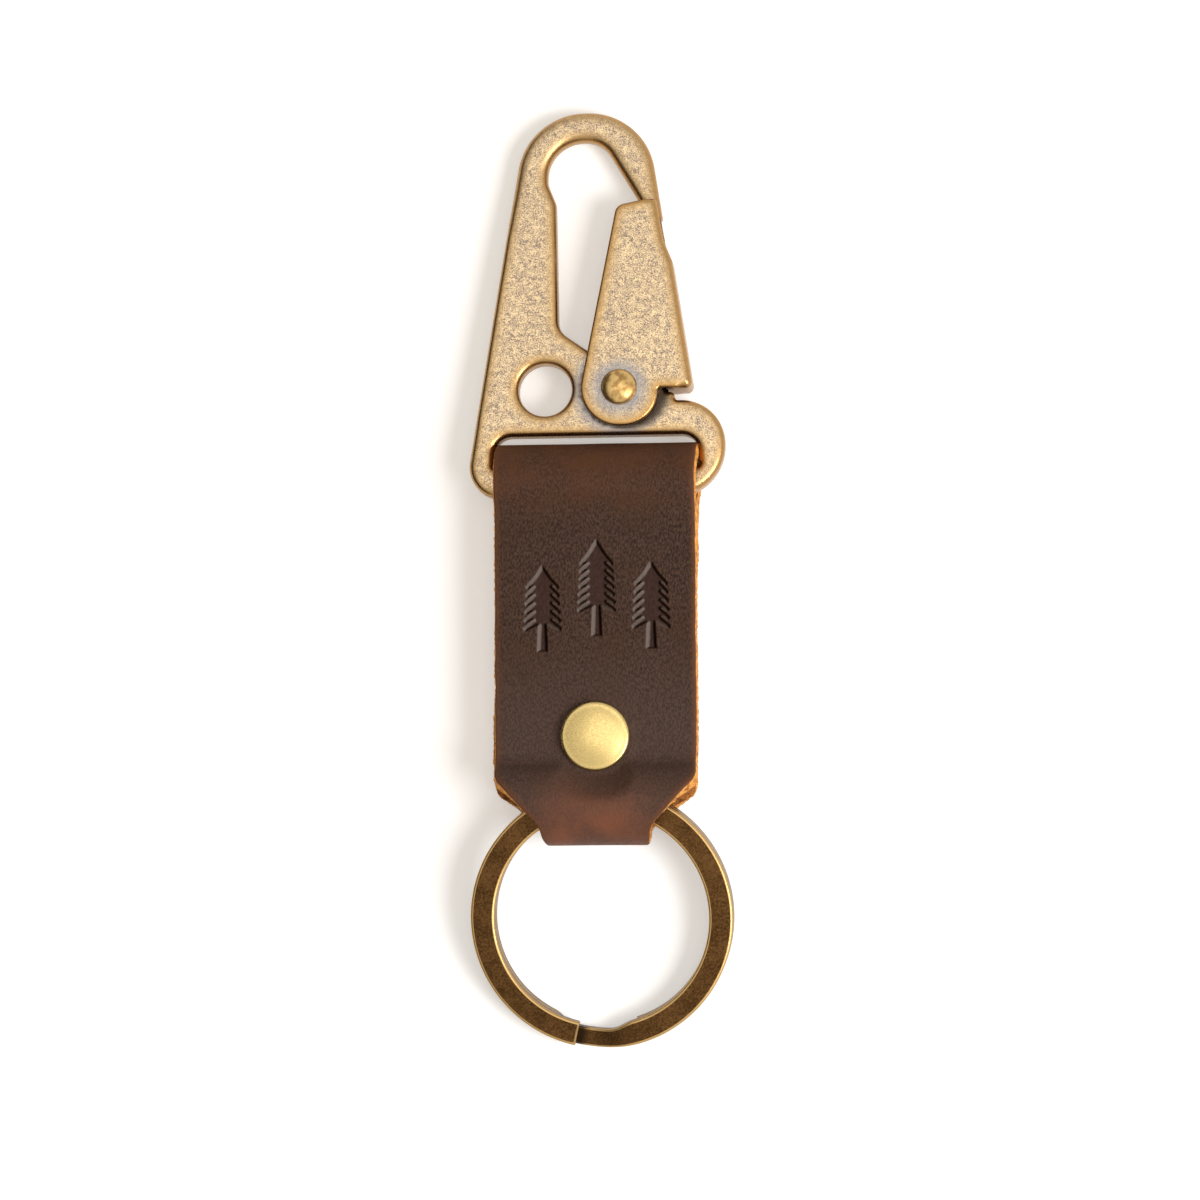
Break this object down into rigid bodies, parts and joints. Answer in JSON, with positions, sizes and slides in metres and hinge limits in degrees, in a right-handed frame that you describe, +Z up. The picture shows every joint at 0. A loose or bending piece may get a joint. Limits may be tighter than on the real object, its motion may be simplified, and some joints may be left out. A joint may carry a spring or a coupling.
{
  "type": "leather keychain",
  "caption": "Folded leather strap, riveted, joining a sprung brass clip hook to a split key ring.",
  "frame": {"origin": "on the table under the middle of the keychain's overall length and width, as it lies on its back", "axes": "+Y runs from the key ring to the hook along the strap, +X across the strap to the gate's side, +Z up out of the strap's front"},
  "size_m": [0.0322, 0.116, 0.0114],
  "materials": {
    "leather": "matte pull-up leather with raw orange cut edges",
    "rivet_brass": "satin",
    "antique_brass": "antique, tumbled",
    "ring_brass": "antique, brushed",
    "spring_steel": "drawn wire"
  },
  "bodies": {
    "strap": {"leather_strap": "leather", "rivet_front_cap": "rivet_brass", "rivet_front_socket": "rivet_brass", "rivet_back_cap": "rivet_brass", "rivet_post": "rivet_brass"},
    "hook": {"hook_body": "antique_brass", "gate_pivot_pin": "rivet_brass", "gate_spring": "spring_steel"},
    "gate": {"hook_gate": "antique_brass"},
    "ring": {"key_ring": "ring_brass"}
  },
  "joints": [
    {"name": "hook_swing", "type": "hinge", "parent": "strap", "child": "hook", "pos_m": [-0.0003, 0.01127, 0.0049], "axis": [1, 0, 0], "range_deg": [-90, 90]},
    {"name": "gate_pivot", "type": "hinge", "parent": "hook", "child": "gate", "pos_m": [0.00266, 0.0228, 0.00417], "axis": [0, 0.0635, 0.998], "range_deg": [0, 24], "stiffness_Nm_per_rad": 0.03, "springref_deg": -22.92, "deforming": ["gate_spring"]},
    {"name": "ring_swing", "type": "hinge", "parent": "strap", "child": "ring", "pos_m": [0, -0.02804, 0.00613], "axis": [1, 0, 0], "range_deg": [-32, 18]}
  ]
}
